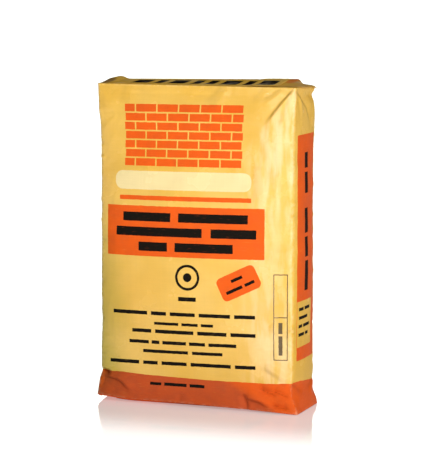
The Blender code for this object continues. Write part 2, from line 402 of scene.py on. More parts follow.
# Painted shade up the left edge, darker and olive; the share of painted shade in the creases; oval
# marks, a painted shadow on the top's left end and a stain on the sleeve: middle, reach, where solid,
# share, colour
LEFT_SHADE_MIDDLE = (-0.225, 0.11)
LEFT_SHADE_REACH = (0.12, 0.35)
LEFT_SHADE_SPREAD = (1.25, 0.35)
CREASE_SHADE_SHARE = 0.55
# Painted shadow: a dark brown oval at the left end of the top, where the folded end stands up
TOP_PAINTED_SHADOW = ((-0.19, -0.012), (0.009, 0.042), 0.5, 0.85, SHADOW_BROWN)
SLEEVE_STAIN = ((0.16, 0.03), (0.016, 0.03), 0.4, 0.6, ORANGE)

# Film: width of a woven tape, heights of its relief, roughness and gloss bare and under ink
TAPE = 0.0026
WEAVE_DEPTH = 0.00007
CRINKLE_DEPTH = 0.0002
STREAK_DEPTH = 0.00008
WHITENING = 0.3
FILM_ROUGHNESS = 0.25
INKED_MATT = 0.16
DARK_MATT = 0.15
FILM_GLOSS = 0.5
INKED_GLOSS = 0.03
EDGE_EASE = 0.004
END_ROUGHNESS = 0.6

# Studio: the white backdrop's direction and spread, the world's strength away from it and in it
BACKDROP = (-0.337, 0.921, 0.197)
BACKDROP_SPREAD = (0.93, 0.985)
WORLD_STRENGTH = (0.13, 2.8)
WORLD_COLOUR = (0.95, 1, 0.9, 1)

# Floor: in front of the sack it glows more and mirrors less
FLOOR_SIZE = 80.0
FLOOR_COLOUR = (0.78, 0.77, 0.78, 1)
GLOW_COLOUR = (1, 0.99, 1, 1)
FORWARD_Y = (-0.13, -0.36)
GLOW = (0.5, 0.69)
MIRRORING = (0.4, 0.06)
POLISH_ROUGHNESS = 0.08

# Lights: name, place, aim, size, power, colour
WHITE = (1, 1, 1)
LIGHTS = (
    ("key", (1.9, -1.57, 1.56), (0.02, 0, 0.42), (0.6, 0.75), 36.0, (1.0, 0.95, 0.88)),
    ("strip", (0.1, -1.5, 0.36), (0.14, 0, 0.34), (0.16, 0.72), 2.4, WHITE),
    ("upper", (-0.04, -1.5, 0.8), (0.12, 0, 0.56), (0.3, 0.2), 1.8, WHITE),
    ("crown", (-0.2, -0.5, 0.9), (-0.12, -0.07, 0.54), (0.2, 0.1), 0.24, WHITE),
    ("low", (0.08, -0.95, 0.004), (0.08, -0.95, 1.0), (0.26, 0.7), 2.6, WHITE),
    ("right", (0.85, -0.68, 0.12), (0.19, -0.04, 0.08), (0.2, 0.16), 1.6, WHITE),
)


def part(value, start=0, full=1):
    """How far a value is from start to full, 0 to 1."""
    return np.clip((value - start) / (full - start), 0, 1)


def smooth(value, start=0, full=1):
    value = part(value, start, full)
    return value * value * (3 - 2 * value)


def ramp(height, reach):
    rest = part(1 - height / reach)
    return rest * rest / (rest + NECK_ROUNDING) * (1 + NECK_ROUNDING)


def past_fold(x, y):
    run_x, run_y = FOLD_TO[0] - FOLD_FROM[0], FOLD_TO[1] - FOLD_FROM[1]
    distance = (-run_y * (x - FOLD_FROM[0]) + run_x * (y - FOLD_FROM[1])) / math.hypot(run_x, run_y)
    near = (np.clip(distance, -FOLD_ROUNDING, FOLD_ROUNDING) + FOLD_ROUNDING) ** 2 / (4 * FOLD_ROUNDING)
    return np.where(distance >= FOLD_ROUNDING, distance, near)


def rear_rise(x, y):
    """How far the folded layers of the top stand up; none beyond the valve corner's fold."""
    rise = REAR_RISE_LEFT + (REAR_RISE_RIGHT - REAR_RISE_LEFT) * part(0.5 + x / BLOCK_LENGTH)
    back = smooth((y + RISE_DEPTH) / (EDGE_HALF_DEPTH + RISE_DEPTH))
    end = LEFT_RISE * smooth(x, *LEFT_RISE_X) * smooth(y, *LEFT_RISE_Y)
    return (rise * back + end) * (1 - smooth(past_fold(x, y) / FOLD_ROUNDING))


def top_height(x, y):
    """Height of the folded top, drooping past the valve corner's fold."""
    beyond = past_fold(x, y)
    tip = EAR_TIP_DROP * smooth((beyond - EAR_TIP_FROM) / EAR_TIP_SPAN)
    return BODY_TOP + rear_rise(x, y) - FOLD_SLOPE * beyond - tip


def base_lift(x, y):
    """How far the base is off the floor: turned up at its long rims, curled at its left corners."""
    rim = EDGE_HALF_DEPTH + BASE_FLARE_Y - LIFT_FROM_Y
    fade = 1 - part(x, *LIFT_FADE_X) ** 2
    front = FRONT_LIFT * part((-y - LIFT_FROM_Y) / rim) ** 2
    rear = REAR_LIFT * part((y - LIFT_FROM_Y) / rim) ** 2
    lift = fade * (front + rear)
    for side_x, side_y, rise, reach in CURLED_CORNERS:
        corner_x = side_x * (WAIST_HALF_WIDTH + BASE_FLARE_X)
        corner_y = side_y * (EDGE_HALF_DEPTH + BASE_FLARE_Y)
        lift += rise * part(1 - np.hypot(x - corner_x, y - corner_y) / reach) ** CURL_POWER
    return lift


def rounded(x, y, half_x, half_y, radius):
    """Points of a rectangle, moved in at its corners so that these are round."""
    core_x = np.clip(x, radius - half_x, half_x - radius)
    core_y = np.clip(y, radius - half_y, half_y - radius)
    out_x, out_y = x - core_x, y - core_y
    length = np.hypot(out_x, out_y)
    reach = np.maximum(abs(out_x), abs(out_y)) / np.maximum(length, 1e-9)
    reach = np.where(length > 0, reach, 1)
    return core_x + out_x * reach, core_y + out_y * reach


def filled_shape(unit):
    """Where points of the unit box (-1 to 1, -1 to 1, 0 to 1) lie on the filled sack."""
    across, through, height = (unit * (1, 1, BODY_TOP)).T
    below_top = BODY_TOP - height
    base = ramp(height, LOWER_NECK)
    top = ramp(below_top, UPPER_NECK)
    taper = smooth(1 - below_top / TOP_TAPER)
    half_width = WAIST_HALF_WIDTH + BASE_FLARE_X * base + TOP_FLARE_X * taper
    half_depth = EDGE_HALF_DEPTH + BASE_FLARE_Y * base + TOP_FLARE_Y * top
    spread = smooth(np.minimum(height / SPREAD_ABOVE_BASE, below_top / SPREAD_BELOW_TOP))
    half_depth = half_depth + (SIDE_SPREAD + SPREAD_SAG * (1 - height / BODY_TOP)) * spread
    firmness = smooth(np.minimum(height / ROUND_ABOVE_BASE, below_top / ROUND_BELOW_TOP))
    radius = RIM_RADIUS + (BODY_RADIUS - RIM_RADIUS) * firmness
    x, y = rounded(across * half_width, through * half_depth, half_width, half_depth, radius)
    x = x - TOP_LEAN * taper * part(across)
    bulge = np.sin(np.pi * part(height, *CROWN_SPAN_Z) ** CROWN_SAG) ** CROWN_FULLNESS
    y = y + through * FACE_CROWN * bulge * (1 - abs(across) ** FACE_CROWN_POWER)
    x = x + across * SIDE_CROWN * bulge * (1 - through ** 2)
    y = y + np.minimum(through, 0) * FRONT_CORNER_FLARE * base * smooth(0.5 + across / 2)
    z = BODY_FLOOR + height * (BODY_TOP - BODY_FLOOR) / BODY_TOP
    z = z + base_lift(x, y) * smooth(1 - height / CURL_HEIGHT)
    x = x + FOLD_SPREAD * past_fold(x, y) * smooth(1 - below_top / EAR_REACH)
    beyond = past_fold(x, y)
    z = z + (top_height(x, y) - BODY_TOP) * smooth(1 - below_top / DROOP_REACH)
    dent = np.exp(-((below_top - DENT_BELOW_TOP) / DENT_SPREAD) ** 2)
    x = x - EAR_DENT * dent * smooth(beyond / DENT_EASE) * part(across)
    return np.stack([x, y, z], 1)


def steps(cells):
    """Shares from 0 to 1, closer together towards both ends."""
    even = np.arange(cells + 1) / cells
    return np.round(even - CELL_EASE * np.sin(2 * np.pi * even) / (2 * np.pi), 9)


def box_grid(cells_x, cells_y, cells_z):
    """Closed box of quads: unit points, quads, and each quad corner's place on the sheet."""
    points, index, quads, sheet = [], {}, [], []
    across, through = 2 * steps(cells_x) - 1, 2 * steps(cells_y) - 1
    upward = steps(cells_z)
    front = across * FRONT_EDGE
    right = FRONT_EDGE + (through + 1) / 2 * BLOCK_WIDTH

    def at(i, j, k):
        if (i, j, k) not in index:
            index[i, j, k] = len(points)
            points.append((across[i], through[j], upward[k]))
        return index[i, j, k]

    def add(corners, along, run, up=2, rise=upward * BODY_TOP):
        quads.append([at(*corner) for corner in corners])
        sheet.extend((run[corner[along]], rise[corner[up]]) for corner in corners)

    for k in range(cells_z):
        for i in range(cells_x):
            n, m = i + 1, k + 1
            add(((i, 0, k), (n, 0, k), (n, 0, m), (i, 0, m)), 0, front)
            corners = (n, cells_y, k), (i, cells_y, k), (i, cells_y, m), (n, cells_y, m)
            add(corners, 0, BACK_MIDDLE - front)
        for j in range(cells_y):
            n, m = j + 1, k + 1
            add(((cells_x, j, k), (cells_x, n, k), (cells_x, n, m), (cells_x, j, m)), 1, right)
            add(((0, n, k), (0, j, k), (0, j, m), (0, n, m)), 1, -right)
    walls = len(quads)
    deep = through * BLOCK_WIDTH / 2
    for i in range(cells_x):
        for j in range(cells_y):
            n, m, top = i + 1, j + 1, cells_z
            add(((i, j, top), (n, j, top), (n, m, top), (i, m, top)), 0, front, 1, deep)
            add(((i, m, 0), (n, m, 0), (n, j, 0), (i, j, 0)), 0, front, 1, deep)
    return np.array(points), quads, np.array(sheet), walls


def vectors(items, name):
    values = np.zeros(len(items) * 3)
    items.foreach_get(name, values)
    return values.reshape(-1, 3)


def sheet_place(unit):
    """u and v of each point of the walls, from its place on the unit box."""
    across, through, height = (unit * (1, 1, BODY_TOP)).T
    depth = (through + 1) / 2 * BLOCK_WIDTH
    u = across * FRONT_EDGE
    u = np.where(through >= 1, BACK_MIDDLE - across * FRONT_EDGE, u)
    inner = abs(through) < 1
    u = np.where(inner & (across >= 1), FRONT_EDGE + depth, u)
    u = np.where(inner & (across <= -1), -FRONT_EDGE - depth, u)
    return u, height


def round_the_tube(distance):
    """Shortest way round the tube between two values of u."""
    return (distance + GIRTH / 2) % GIRTH - GIRTH / 2


def edge_pinches():
    """Seeded short folds across the four upright edges."""
    draw = random.Random(PINCH_SEED)
    pinches = []
    for edge in UPRIGHT_EDGES:
        for step in range(PINCHES_PER_EDGE):
            v = PINCH_FROM_V + PINCH_RUN_V * (step + draw.uniform(*PINCH_PLACE)) / PINCHES_PER_EDGE
            half = draw.uniform(*PINCH_LENGTH) / 2
            side = draw.choice((-1, 1))
            rise = draw.uniform(-PINCH_TILT, PINCH_TILT) * half
            run = ((edge - side * half * PINCH_PAST_EDGE, v - rise), (edge + side * half, v + rise))
            height = draw.choice((-1, 1)) * draw.uniform(*PINCH_DEPTH)
            pinches.append((run, height, draw.uniform(*PINCH_WIDTH), draw.uniform(*PINCH_WIDTH)))
    return tuple(pinches)


def beside(u, v, run):
    """Distance of each point from a run of points, its share of the way along, and its side."""
    lengths = [math.dist(first, second) for first, second in zip(run, run[1:])]
    nearest, share, side = np.full_like(u, 9.0), np.zeros_like(u), np.ones_like(u)
    passed = 0.0
    for (start_u, start_v), (end_u, end_v), length in zip(run, run[1:], lengths):
        run_u, run_v = (end_u - start_u) / length, (end_v - start_v) / length
        from_u, from_v = round_the_tube(u - start_u), v - start_v
        along = np.clip(from_u * run_u + from_v * run_v, 0, length)
        distance = np.hypot(from_u - along * run_u, from_v - along * run_v)
        closer = distance < nearest
        nearest = np.where(closer, distance, nearest)
        share = np.where(closer, (passed + along) / sum(lengths), share)
        side = np.where(closer, np.sign(from_v * run_u - from_u * run_v), side)
        passed += length
    return nearest, share, side


def fold_relief(u, v):
    """How far the folds push each point of the sheet out, and how much painted shade darkens the creases
    at their feet.
    """
    relief, crease_shade = np.zeros((2, len(u)))
    for run, height, left, right in FOLDS + edge_pinches():
        distance, share, side = beside(u, v, run)
        width = np.where(side > 0, left, right) * (1 + FOLD_WIDENING * share)
        fade = FOLD_START + (1 - FOLD_START) * smooth(share / FOLD_LEAD)
        fade = fade * smooth((1 - share) / FOLD_TAIL)
        rounded = np.hypot(distance, CREST_ROUNDING) - CREST_ROUNDING
        relief += height * fade * part(1 - rounded / width) ** FLANK_CURVE
        # Painted shade: a dark line at the foot of each steep flank, where the crease lies in shade
        foot = CREASE_SHADE_AT * width if height > 0 else 0.0
        at_foot = np.exp(-((distance - foot) / (CREASE_SHADE_SPREAD * width)) ** 2)
        narrow = min(left, right)
        steep = abs(height) / width * narrow / CREASE_SHADE_DEPTH
        crease_shade += fade * at_foot * steep * (width <= EVEN_FLANKS * narrow * (1 + FOLD_WIDENING))
    for (dent_u, dent_v), (reach_u, reach_v), depth in DENTS:
        away = np.hypot(round_the_tube(u - dent_u) / reach_u, (v - dent_v) / reach_v)
        relief -= depth * np.exp(-away ** 2)
    return relief, crease_shade


def edge_distance(u):
    """How far each point lies from the nearest upright edge of the sack."""
    return np.min([abs(round_the_tube(u - edge)) for edge in UPRIGHT_EDGES], axis=0)


def crumple_relief(place, u, v):
    """Waves and sharp little crumples, busier near the edges and the ends."""
    noise.seed_set(CRUMPLE_SEED)
    wave, crumple, patches = np.zeros((3, len(u)))
    for index, point in enumerate(place):
        spot = Vector(point)
        wave[index] = sum(height * noise.noise(spot * scale) for scale, height in UNDULATIONS)
        bent = spot + BENT_REACH * noise.noise_vector(spot * BENT_WAVES)
        crumple[index] = sum(height * (CRUMPLE_LEVEL - abs(noise.noise(bent * scale + CRUMPLE_SHIFT)))
                             for scale, height in CRUMPLES)
        patches[index] = noise.noise(spot * CRUMPLE_PATCHES + PATCH_SHIFT)
    busy = smooth(1 - np.minimum(edge_distance(u), np.minimum(v, BODY_TOP - v)) / BUSY_EDGE)
    for (spot_u, spot_v), (reach_u, reach_v) in BUSY_SPOTS:
        busy += SPOT_SHARE * np.exp(-((u - spot_u) / reach_u) ** 2 - ((v - spot_v) / reach_v) ** 2)
    share = CRUMPLE_LEAST + PATCH_SHARE * patches + BUSY_SHARE * busy
    return wave + crumple * np.clip(share, CRUMPLE_LEAST / 2, 1)


def make_sack(materials):
    cells = [round(size / CELL) for size in (BLOCK_LENGTH, BLOCK_WIDTH, HEIGHT)]
    unit, quads, sheet, walls = box_grid(*cells)
    mesh = bpy.data.meshes.new("sack")
    mesh.from_pydata(filled_shape(unit).tolist(), [], quads)
    mesh.uv_layers.new(name="sheet").uv.foreach_set("vector", sheet.ravel())
    mesh.attributes.new("unit", "FLOAT_VECTOR", "POINT").data.foreach_set("vector", unit.ravel())
    for material in materials:
        mesh.materials.append(material)
    ends = np.arange(len(quads)) - walls
    mesh.polygons.foreach_set("material_index", np.where(ends < 0, 0, 1 + ends % 2))
    crease = mesh.attributes.new("crease_edge", "FLOAT", "EDGE")
    for edge in mesh.edges:
        a, b = (unit[index] for index in edge.vertices)
        at_end = a[2] == b[2] and a[2] in (0, 1)
        if at_end and ((abs(a[0]) == 1 and a[0] == b[0]) or (abs(a[1]) == 1 and a[1] == b[1])):
            crease.data[edge.index].value = RIM_CREASE
    mesh.update()
    sack = bpy.data.objects.new("sack", mesh)
    bpy.context.scene.collection.objects.link(sack)
    simulate(sack, unit)
    refine(sack)
    press_folds(sack.data)
    sack.data.shade_smooth()
    return sack


def simulate(sack, unit):
    """Lets the sheet, cut as a flat-sided box, settle round its fill."""
    start = filled_shape(unit)
    half = (BLOCK_LENGTH * SHEET_STRETCH / 2, BLOCK_WIDTH * SHEET_STRETCH / 2)
    sheet = unit * (*half, SHEET_HEIGHT)
    sack.shape_key_add(name="Basis")
    rest = sack.shape_key_add(name="sheet")
    rest.data.foreach_set("co", sheet.ravel())
    ends = np.nonzero((unit[:, 2] <= 0) | (unit[:, 2] >= 1))[0]
    sack.vertex_groups.new(name=CLOTH["vertex_group_mass"]).add(ends.tolist(), 1.0, "REPLACE")
    cloth = sack.modifiers.new("cloth", "CLOTH")
    cloth.settings.rest_shape_key = rest
    for name, value in CLOTH.items():
        setattr(cloth.settings, name, value)
    cloth.settings.effector_weights.gravity = 0
    cloth.point_cache.frame_start = 1
    cloth.point_cache.frame_end = SETTLING_FRAMES
    for frame_number in range(1, SETTLING_FRAMES + 1):
        bpy.context.scene.frame_set(frame_number)
    graph = bpy.context.evaluated_depsgraph_get()
    settled = vectors(sack.evaluated_get(graph).data.vertices, "co")
    sack.modifiers.remove(cloth)
    sack.shape_key_clear()
    sack.vertex_groups.clear()
    moved = (settled - start) * SETTLED_SHARE
    length = np.linalg.norm(moved, axis=1, keepdims=True)
    moved *= MOVE_LIMIT * np.tanh(length / MOVE_LIMIT) / np.maximum(length, 1e-9)
    sack.data.vertices.foreach_set("co", (start + moved).ravel())
    sack.data.update()
    bpy.context.scene.frame_set(1)


def refine(sack):
    """Halves the cells and makes the result the sack's mesh."""
    finer = sack.modifiers.new("finer", "SUBSURF")
    finer.levels = finer.render_levels = 1
    finer.uv_smooth = "NONE"
    graph = bpy.context.evaluated_depsgraph_get()
    mesh = bpy.data.meshes.new_from_object(sack.evaluated_get(graph))
    sack.modifiers.remove(finer)
    sack.data = mesh


def keep_share(mesh, name, share):
    """Keeps a share from 0 to 1 at each point, which a material reads by its name."""
    mesh.attributes.new(name, "FLOAT", "POINT").data.foreach_set("value", part(share))


def press_folds(mesh):
    """Moves the fine sheet by its folds and waves, and keeps where it is worn and where its creases get
    painted shade.
    """
    unit = np.round(vectors(mesh.attributes["unit"].data, "vector"), 5)
    wall = np.max(abs(unit[:, :2]), axis=1) >= 1
    u, v = sheet_place(unit)
    relief, crease_shade = fold_relief(u, v)
    place = vectors(mesh.vertices, "co")
    from_rim = np.minimum(v, BODY_TOP - v)
    inner = smooth(from_rim / RIM_FADE)
    move = relief * (FOLDS_AT_RIM + (1 - FOLDS_AT_RIM) * inner)
    move += crumple_relief(place, u, v) * (CRUMPLES_AT_RIM + (1 - CRUMPLES_AT_RIM) * inner)
    lap = (u - SEAM_U) / SEAM_WIDTH
    move += SEAM_STEP * smooth(SEAM_EASE * lap) * (1 - smooth(lap))
    place += vectors(mesh.vertex_normals, "vector") * np.where(wall, move, 0)[:, None]
    inward = (BLOCK_WIDTH * (1 - abs(unit[:, 1])) - BLOCK_LENGTH * (1 - abs(unit[:, 0]))) / 2
    pocket = PLY * smooth(inward / PLY_EASE)
    place[:, 2] += np.where(wall, 0, pocket * np.where(unit[:, 2] > 0.5, -1, 1))
    mesh.vertices.foreach_set("co", place.ravel())
    edges = WORN_EDGES[1] * np.exp(-(edge_distance(u) / WORN_EDGES[0]) ** 2)
    rims = WORN_RIMS[1] * np.exp(-(from_rim / WORN_RIMS[0]) ** 2)
    keep_share(mesh, "worn", np.where(wall, edges + rims, 0))
    # Painted shade in the creases, kept for the print's material
    keep_share(mesh, "crease_shade", np.where(wall, crease_shade, 0))
    mesh.attributes.remove(mesh.attributes["unit"])
    mesh.update()


class Look:
    """A material and short ways to add nodes to it, each giving the socket of its result."""

    def __init__(self, name):
        self.material = bpy.data.materials.new(name)
        self.material.use_nodes = True
        self.tree = self.material.node_tree
        self.shader = self.tree.nodes["Principled BSDF"]

    def add(self, kind, output, inputs=(), **settings):
        node = self.tree.nodes.new("ShaderNode" + kind)
        for name, value in settings.items():
            setattr(node, name, value)
        for key, value in dict(inputs).items():
            self.feed(node.inputs[key], value)
        return node.outputs[output]

    def feed(self, socket, value):
        if isinstance(value, bpy.types.NodeSocket):
            self.tree.links.new(value, socket)
        else:
            socket.default_value = value

    def math(self, operation, *values):
        return self.add("Math", 0, enumerate(values), operation=operation)

    def scaled(self, value, factor, offset):
        return self.math("MULTIPLY_ADD", value, factor, offset)

    def vector(self, operation, *values):
        return self.add("VectorMath", 0, enumerate(values), operation=operation)

    def length(self, value):
        return self.add("VectorMath", 1, {0: value}, operation="LENGTH")

    def either(self, *masks):
        return functools.reduce(functools.partial(self.math, "MAXIMUM"), masks)

    def both(self, *masks):
        return functools.reduce(functools.partial(self.math, "MULTIPLY"), masks)

    def without(self, mask, taken):
        return self.both(mask, self.math("SUBTRACT", 1.0, taken))

    def mix(self, share, first, second):
        first, second = (value if isinstance(value, bpy.types.NodeSocket) else (*value, 1.0)
                         for value in (first, second))
        return self.add("Mix", 2, {0: share, 6: first, 7: second}, data_type="RGBA")

    def blend(self, share, first, second):
        return self.add("Mix", 0, {0: share, 2: first, 3: second}, data_type="FLOAT")

    def noise(self, place, scale, detail=2.0, roughness=0.5):
        inputs = {"Vector": place, "Scale": scale, "Detail": detail, "Roughness": roughness}
        return self.add("TexNoise", "Fac", inputs)

    def spread(self, value, low, high, to_low=0.0, to_high=1.0):
        inputs = {0: value, 1: low, 2: high, 3: to_low, 4: to_high}
        return self.add("MapRange", 0, inputs, interpolation_type="SMOOTHSTEP")

    def stretched(self, place, factors):
        return self.vector("MULTIPLY", place, factors)

    def area(self, place, middle, size, rounding=0.0008, turn=0.0):
        """1 inside a rectangle with rounded corners, else 0."""
        away = self.vector("SUBTRACT", place, (*middle, 0.0))
        if turn:
            away = self.turned(away, -turn)
        inner = (size[0] / 2 - rounding, size[1] / 2 - rounding, 1.0)
        beyond = self.vector("SUBTRACT", self.vector("ABSOLUTE", away), inner)
        beyond = self.vector("MAXIMUM", beyond, (0.0, 0.0, 0.0))
        return self.math("LESS_THAN", self.length(beyond), rounding)

    def away(self, place, middle, reach):
        """Distance from the middle of an oval, 1 at its rim."""
        from_middle = self.vector("SUBTRACT", place, (*middle, 0.0))
        return self.length(self.vector("DIVIDE", from_middle, (*reach, 1.0)))

    def disc(self, place, middle, radius):
        return self.math("LESS_THAN", self.away(place, middle, (radius, radius)), 1.0)

    def with_stain_or_shadow(self, place, colour, middle, reach, solid, share, stain_or_shadow):
        mask = self.spread(self.away(place, middle, reach), 1.0, solid, 0.0, share)
        return self.mix(mask, colour, stain_or_shadow)

    def turned(self, place, angle):
        inputs = {"Vector": place, "Angle": angle}
        return self.add("VectorRotate", 0, inputs, rotation_type="Z_AXIS")

    def outline(self, place, middle, size, line):
        inner = (size[0] - 2 * line, size[1] - 2 * line)
        return self.without(self.area(place, middle, size), self.area(place, middle, inner))

    def row(self, place, left, right, middle, height, letters, upright=False):
        """A row of plain bars as long as words of these numbers of letters would be."""
        centre, size = ((left + right) / 2, middle), (right - left, height)
        if upright:
            centre, size = centre[::-1], size[::-1]
        parts = self.split(place)
        along = self.scaled(parts[1 if upright else 0], 1 / (right - left), -left / (right - left))
        total = sum(letters) + LETTER_GAP * (len(letters) - 1)
        bars = self.tree.nodes.new("ShaderNodeValToRGB")
        stops = bars.color_ramp
        stops.interpolation = "CONSTANT"
        stops.elements[0].color = (1, 1, 1, 1)
        stops.elements[1].position = 1.0
        stops.elements[1].color = (0, 0, 0, 1)
        reached = 0
        for count in letters[:-1]:
            reached += count
            stops.elements.new(reached / total).color = (0, 0, 0, 1)
            reached += LETTER_GAP
            stops.elements.new(reached / total).color = (1, 1, 1, 1)
        self.feed(bars.inputs[0], along)
        return self.both(self.area(place, centre, size), bars.outputs[0])

    def kept(self, name):
        return self.add("Attribute", "Fac", attribute_name=name)

    def split(self, place):
        node = self.tree.nodes.new("ShaderNodeSeparateXYZ")
        self.feed(node.inputs[0], place)
        return node.outputs

    def join(self, x, y, z=0.0):
        return self.add("CombineXYZ", 0, {0: x, 1: y, 2: z})


def weave_height(look, place):
    """Plain weave of flat tapes, 0 to 1 high, seen faintly through the film."""
    u, v, _ = look.split(place)
    turn = math.pi / TAPE
    across = look.math("SINE", look.both(u, turn))
    up = look.math("SINE", look.both(v, turn))
    over = look.math("GREATER_THAN", look.both(across, up), 0.0)
    return look.blend(over, look.math("ABSOLUTE", across), look.math("ABSOLUTE", up))


def film_finish(look, place, colour, worn, base_roughness, gloss, matt=0.0):
    """The laminated film that all the printed pieces share: tape streaks, crinkle and wear."""
    streaks = look.noise(look.stretched(place, (9.0, 420.0, 1.0)), 1.0, 2.0)
    columns = look.noise(look.stretched(place, (300.0, 5.0, 1.0)), 1.0, 1.0)
    mottle = look.noise(place, 18.0, 3.0)
    crinkle = look.noise(place, 95.0, 4.0, 0.6)
    tone = look.math("ADD", look.spread(streaks, 0.25, 0.75, 0.985, 1.01),
                     look.spread(columns, 0.3, 0.7, -0.008, 0.008))
    tone = look.both(tone, look.spread(mottle, 0.25, 0.75, 0.96, 1.03))
    colour = look.add("VectorMath", 0, {0: colour, 3: tone}, operation="SCALE")
    scuff = look.both(worn, look.spread(crinkle, 0.42, 0.62))
    colour = look.mix(look.both(scuff, WHITENING), colour, WHITENED)
    look.feed(look.shader.inputs["Base Color"], colour)
    roughness = look.spread(mottle, 0.2, 0.8, base_roughness - 0.04, base_roughness + 0.05)
    roughness = look.scaled(scuff, 0.2, roughness)
    roughness = look.math("ADD", roughness, matt)
    look.feed(look.shader.inputs["Roughness"], roughness)
    weave = look.both(weave_height(look, place), WEAVE_DEPTH)
    height = look.scaled(crinkle, CRINKLE_DEPTH, weave)
    height = look.scaled(streaks, STREAK_DEPTH, height)
    bump = look.add("Bump", 0, {"Height": height, "Distance": 1.0, "Strength": 0.8})
    look.feed(look.shader.inputs["Normal"], bump)
    look.feed(look.shader.inputs["Specular IOR Level"], gloss)


def print_places(look, place):
    """Where the print lies: on the sheet, alike on both faces, or mirrored on both sides."""
    inputs = {"Vector": place, "Scale": INK_WAVES}
    wander = look.vector("SUBTRACT", look.add("TexNoise", "Color", inputs), (0.5, 0.5, 0.5))
    wander = look.vector("MULTIPLY", wander, (INK_WANDER, INK_WANDER, 0.0))
    u, v, _ = look.split(look.vector("ADD", place, wander))
    round_u = look.math("ABSOLUTE", u)
    face_u = look.math("WRAP", u, GIRTH / 4, -GIRTH / 4)
    face_v = look.scaled(face_u, -PRINT_SKEW, v)
    front = look.math("LESS_THAN", round_u, FRONT_EDGE)
    return SimpleNamespace(u=u, v=v, round_u=round_u, front=front, sheet=look.join(u, face_v),
                           faces=look.join(face_u, face_v), sides=look.join(round_u, v))


def bottom_band(look, place, at):
    """The band round the base, whose edge ripples, dips at the front and falls to the rear."""
    fall = look.spread(at.round_u, FRONT_EDGE, REAR_EDGE, 0.0, BAND_FALL)
    ripple = look.noise(look.stretched(place, (BAND_RIPPLE_WAVES, 0.0, 0.0)), 1.0, 2.0)
    edge = look.scaled(ripple, BAND_RIPPLE, BAND_TOP - BAND_RIPPLE / 2)
    dip = look.scaled(at.u, 1 / BAND_DIP_HALF, -BAND_DIP_U / BAND_DIP_HALF)
    dip = look.math("MINIMUM", look.both(dip, dip), BAND_DIP_MOST)
    edge = look.math("ADD", edge, look.scaled(dip, BAND_DIP, BAND_DIP_LOWEST))
    return look.math("LESS_THAN", at.v, look.math("SUBTRACT", edge, fall))


def brick_panel(look, at):
    (middle_u, middle_v), (width, height) = PANEL
    corner = (middle_u - width / 2, middle_v - height / 2 - BRICK_JOINT / 2, 0.0)
    joints = look.add("TexBrick", "Fac", {
        "Vector": look.vector("SUBTRACT", at.faces, corner), "Scale": 1.0,
        "Mortar Size": BRICK_JOINT / 2, "Mortar Smooth": 0.0,
        "Brick Width": BRICK_LENGTH, "Row Height": BRICK_COURSE,
    })
    return look.without(look.area(at.faces, *PANEL), joints)


def orange_print(look, at, band):
    badge = look.both(at.front, look.area(at.sheet, *BADGE))
    box, bar = look.area(at.faces, *FRONT_BOX), look.area(at.faces, *THIN_BAR)
    strip = look.area(at.sides, *SIDE_STRIP)
    fields = look.either(band, brick_panel(look, at), box, bar, badge, strip)
    return look.without(fields, look.area(at.sides, *SIDE_LABEL))


def dark_print(look, at):
    """The ring and its label, and the rows of plain bars."""
    middle, outer, inner = RING
    ring = look.without(look.disc(at.sheet, middle, outer), look.disc(at.sheet, middle, inner))
    small = [ring, look.disc(at.sheet, middle, RING_CORE), look.area(at.sheet, *RING_LABEL)]
    small += [look.row(at.sheet, *row) for row in TEXT_ROWS + (WEIGHT_ROW,)]
    on_badge = look.turned(look.vector("SUBTRACT", at.sheet, (*BADGE[0], 0.0)), -BADGE_TURN)
    small += [look.row(on_badge, *row) for row in BADGE_ROWS]
    large = [look.row(at.faces, *row) for row in HEADLINE_ROWS]
    large += [look.row(at.sides, *row, True) for row in SIDE_RUNS]
    large += [look.row(at.sides, *row) for row in SIDE_LABEL_ROWS]
    return look.either(look.both(at.front, look.either(*small)), *large)


def form_print(look, at):
    """The outlined box with a run of bars in its lower half."""
    middle, size = FORM_BOX
    lines = look.outline(at.sheet, middle, size, FORM_LINE)
    divide = look.area(at.sheet, middle, (size[0], FORM_LINE))
    return look.both(at.front, look.either(lines, divide, look.row(at.sheet, *FORM_ROW, True)))


def bare_film(look, place, at):
    """The yellow ground with its painted highlight at the right of the front, and the bare cream strip.
    """
    ground = look.mix(look.spread(look.noise(place, 7.0), 0.3, 0.7), YELLOW, PALE_YELLOW)
    streaks = look.noise(look.stretched(place, (70.0, 13.0, 1.0)), 1.0, 3.0)
    streaks = look.spread(streaks, 0.35, 0.62)
    height = look.either(look.spread(at.v, *PAINTED_HIGHLIGHT_LOW), look.spread(at.v, *PAINTED_HIGHLIGHT_HIGH))
    beyond = look.spread(look.scaled(at.u, -LONG_FOLD_SLOPE, at.v), *LONG_FOLD_PLACE)
    # Painted highlight: pale cream in upright streaks at the right of the front, below the long fold
    highlight_share = look.both(at.front, look.spread(at.u, *PAINTED_HIGHLIGHT_U), streaks, height, beyond)
    ground = look.mix(highlight_share, ground, PAINTED_HIGHLIGHT)
    name = look.both(look.area(at.faces, *NAME_STRIP), 0.9)
    return look.mix(name, ground, CREAM)


